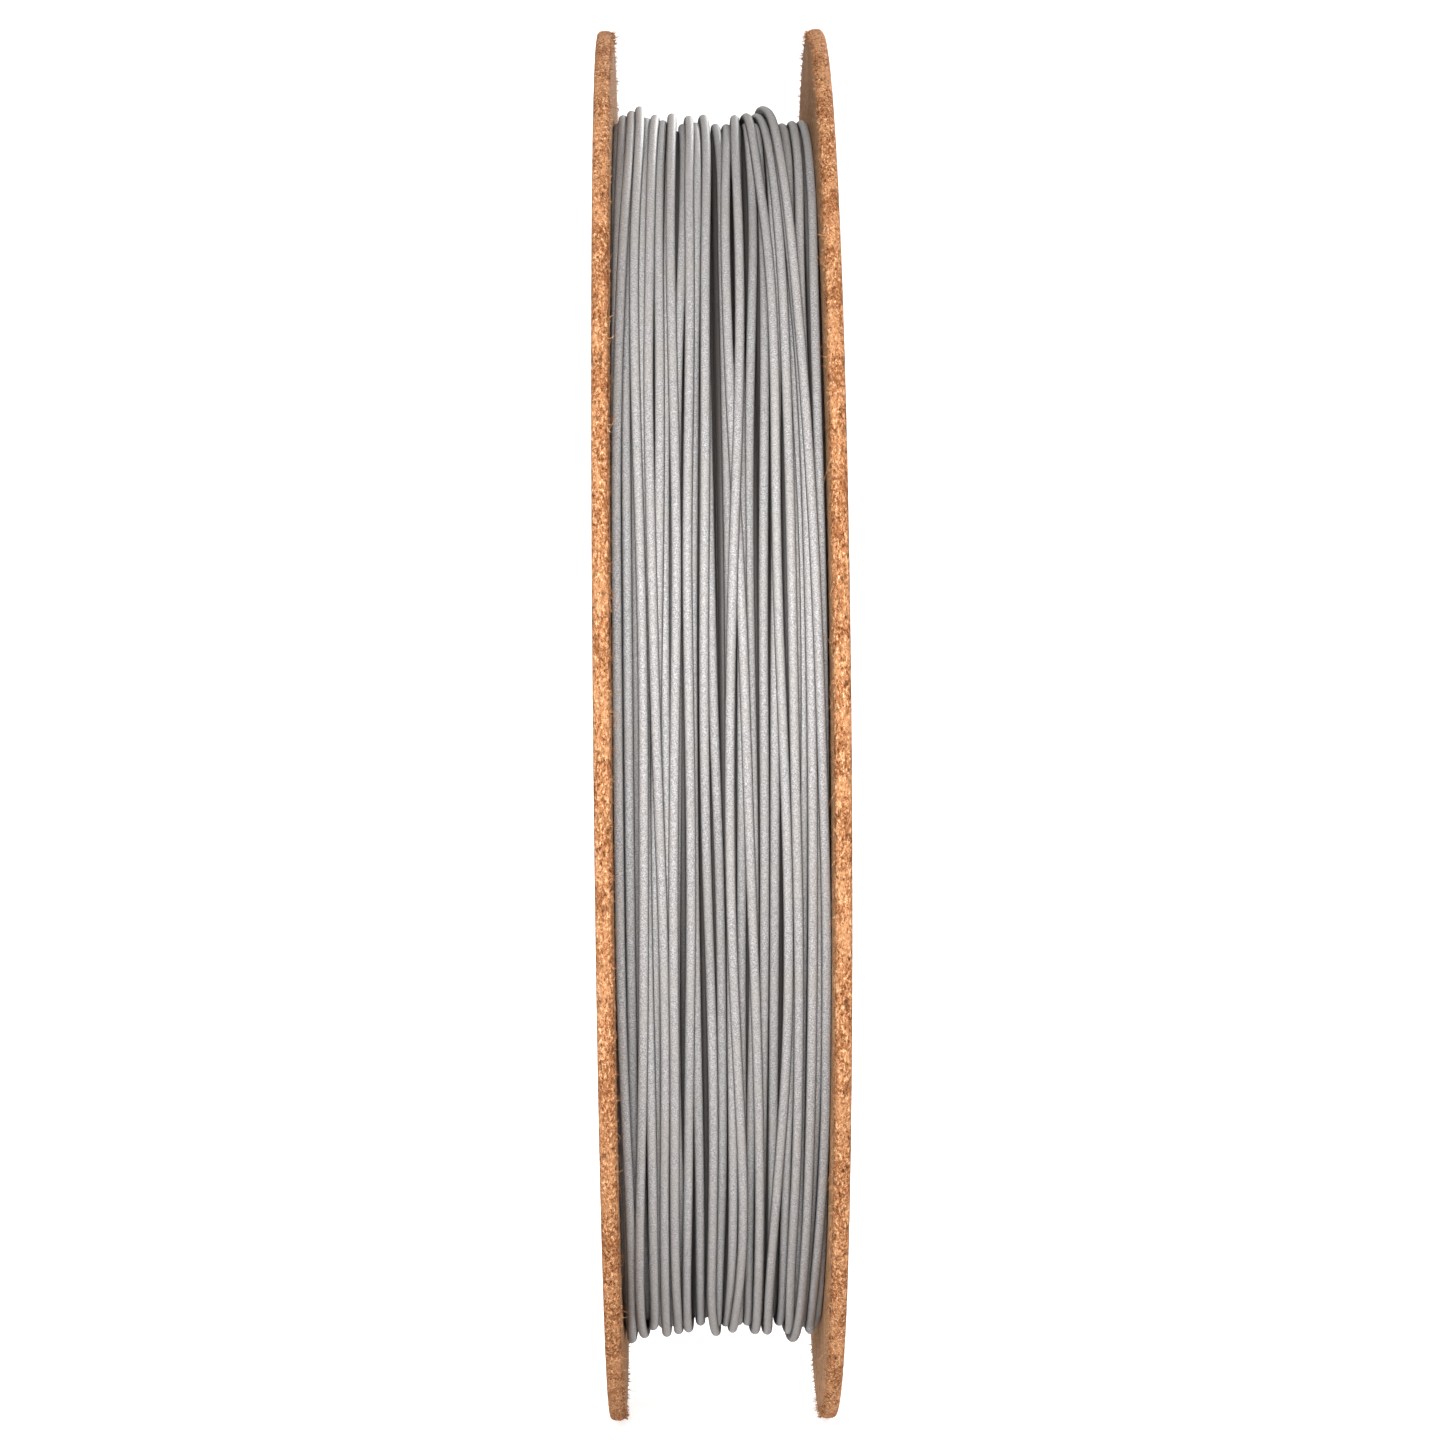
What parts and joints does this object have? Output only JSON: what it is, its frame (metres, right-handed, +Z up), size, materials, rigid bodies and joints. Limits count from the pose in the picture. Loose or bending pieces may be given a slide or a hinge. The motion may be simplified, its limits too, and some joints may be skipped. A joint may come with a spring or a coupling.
{
  "type": "filament spool",
  "caption": "Filament spool: round fibreboard flanges on a paperboard drum, wound full width with matte grey filament, its outer end tucked into a tie hole.",
  "frame": {"origin": "centre of the spindle bore, midway between the flanges", "axes": "+X along the spool's axis towards the right flange, +Z up with the spool standing on its rims, -Y towards the side from which the spool is seen edge-on"},
  "size_m": [0.0434, 0.27, 0.27],
  "materials": {
    "fibreboard": "raw sanded fibreboard",
    "paperboard": "spiral-wound kraft paper",
    "filament": "matte, fine grained"
  },
  "bodies": {
    "root": {"left_flange": "fibreboard", "right_flange": "fibreboard", "drum_tube": "paperboard", "left_drum_disc": "fibreboard", "right_drum_disc": "fibreboard", "hub_tube": "paperboard", "filament_pack": "filament", "filament_start": "filament", "filament_tail": "filament"}
  },
  "joints": []
}
